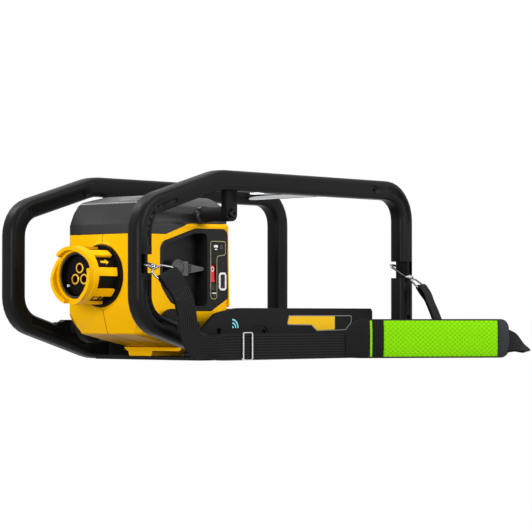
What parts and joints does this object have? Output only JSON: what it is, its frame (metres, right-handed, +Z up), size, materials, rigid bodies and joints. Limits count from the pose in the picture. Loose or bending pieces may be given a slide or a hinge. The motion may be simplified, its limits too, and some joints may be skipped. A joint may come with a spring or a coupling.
{
  "type": "battery power unit for concrete tools",
  "caption": "Carry-frame battery power unit: yellow housing with a twist-lock outlet and side controls, between two moulded hoop frames, with an open battery tray and a shoulder strap.",
  "frame": {"origin": "on the underside of the battery tray, under its middle, level with the undersides of the side frames", "axes": "+X along the side frames, away from the outlet; -Y towards the operator's side with the controls and strap; +Z up"},
  "size_m": [0.6866, 0.4993, 0.28],
  "materials": {
    "frame_black": "fine moulded texture, glass-filled nylon",
    "housing_yellow": "satin moulded plastic",
    "cover_grey": "fine moulded texture",
    "panel_black": "fine moulded texture",
    "lever_grey": "satin moulded plastic",
    "switch_red": "gloss moulded plastic",
    "bezel_white": "gloss moulded plastic",
    "lens_dark": "dark tinted window",
    "rubber": "matte moulded rubber",
    "polished_steel": "polished",
    "bolt_steel": "black oxide",
    "chrome": "bright plated wire",
    "contact_brass": "machined",
    "webbing": "woven polypropylene",
    "pad_lime": "spacer mesh over foam",
    "circuit_board": "solder mask",
    "heat_sink": "extruded",
    "capacitor_sleeve": "shrink sleeve",
    "lead_insulation": "silicone insulation"
  },
  "bodies": {
    "chassis": {"near_side_frame": "frame_black", "far_side_frame": "frame_black", "cross_rod": "polished_steel", "near_rod_bolt": "bolt_steel", "far_rod_bolt": "bolt_steel", "near_top_isolator": "rubber", "near_bottom_isolator": "rubber", "far_top_isolator": "rubber", "far_bottom_isolator": "rubber", "near_top_isolator_bolt": "bolt_steel", "near_bottom_isolator_bolt": "bolt_steel", "far_top_isolator_bolt": "bolt_steel", "far_bottom_isolator_bolt": "bolt_steel", "battery_tray": "frame_black", "near_tray_bolt_1": "bolt_steel", "near_tray_bolt_2": "bolt_steel", "far_tray_bolt_1": "bolt_steel", "far_tray_bolt_2": "bolt_steel", "housing_near_half": "housing_yellow", "housing_far_half": "housing_yellow", "top_cover": "cover_grey", "skid_foot": "housing_yellow", "side_panel": "panel_black", "selector_switch": "panel_black", "rocker_switch_body": "panel_black", "indicator_bezel": "bezel_white", "indicator_lens": "lens_dark", "connector_flange": "panel_black", "socket_insert": "panel_black", "contact_socket_1": "contact_brass", "contact_socket_2": "contact_brass", "contact_socket_3": "contact_brass", "terminal_block": "panel_black", "inverter_board": "circuit_board", "heat_sink": "heat_sink", "bulk_capacitor_1": "capacitor_sleeve", "bulk_capacitor_2": "capacitor_sleeve", "bulk_capacitor_3": "capacitor_sleeve", "phase_lead_1": "lead_insulation", "phase_lead_2": "lead_insulation", "phase_lead_3": "lead_insulation", "battery_lead_1": "lead_insulation", "battery_lead_2": "lead_insulation", "strap_webbing_front": "webbing", "strap_webbing_return": "webbing", "shoulder_pad": "pad_lime", "front_hook_body": "chrome", "front_strap_eye": "chrome", "rear_hook_body": "chrome", "rear_strap_eye": "chrome"},
    "collar": {"locking_collar": "housing_yellow"},
    "lever": {"selector_lever": "lever_grey", "lever_shaft": "polished_steel"},
    "rocker": {"rocker_switch": "switch_red"},
    "slider": {"strap_slider": "chrome"},
    "front_gate": {"front_hook_gate": "chrome"},
    "rear_gate": {"rear_hook_gate": "chrome"}
  },
  "joints": [
    {"name": "collar_twist", "type": "hinge", "parent": "chassis", "child": "collar", "pos_m": [-0.24, 0, 0.1246], "axis": [-1, 0, 0], "range_deg": [0, 45]},
    {"name": "lever_turn", "type": "hinge", "parent": "chassis", "child": "lever", "pos_m": [-0.15, -0.06, 0.136], "axis": [0, -1, 0], "range_deg": [-45, 45]},
    {"name": "rocker_tilt", "type": "hinge", "parent": "chassis", "child": "rocker", "pos_m": [-0.0805, -0.07, 0.122], "axis": [1, 0, 0], "range_deg": [0, 16]},
    {"name": "slider_travel", "type": "slide", "parent": "chassis", "child": "slider", "axis": [1, 0, 0], "range_m": [-0.02, 0.02]},
    {"name": "front_gate_swing", "type": "hinge", "parent": "chassis", "child": "front_gate", "pos_m": [-0.284, -0.15207, 0.13662], "axis": [0, -0.2924, 0.9563], "range_deg": [0, 18], "stiffness_Nm_per_rad": 0.01, "springref_deg": -17.19},
    {"name": "rear_gate_swing", "type": "hinge", "parent": "chassis", "child": "rear_gate", "pos_m": [0.284, -0.14904, 0.12947], "axis": [0, 0.4848, -0.8746], "range_deg": [0, 18], "stiffness_Nm_per_rad": 0.01, "springref_deg": -17.19}
  ]
}
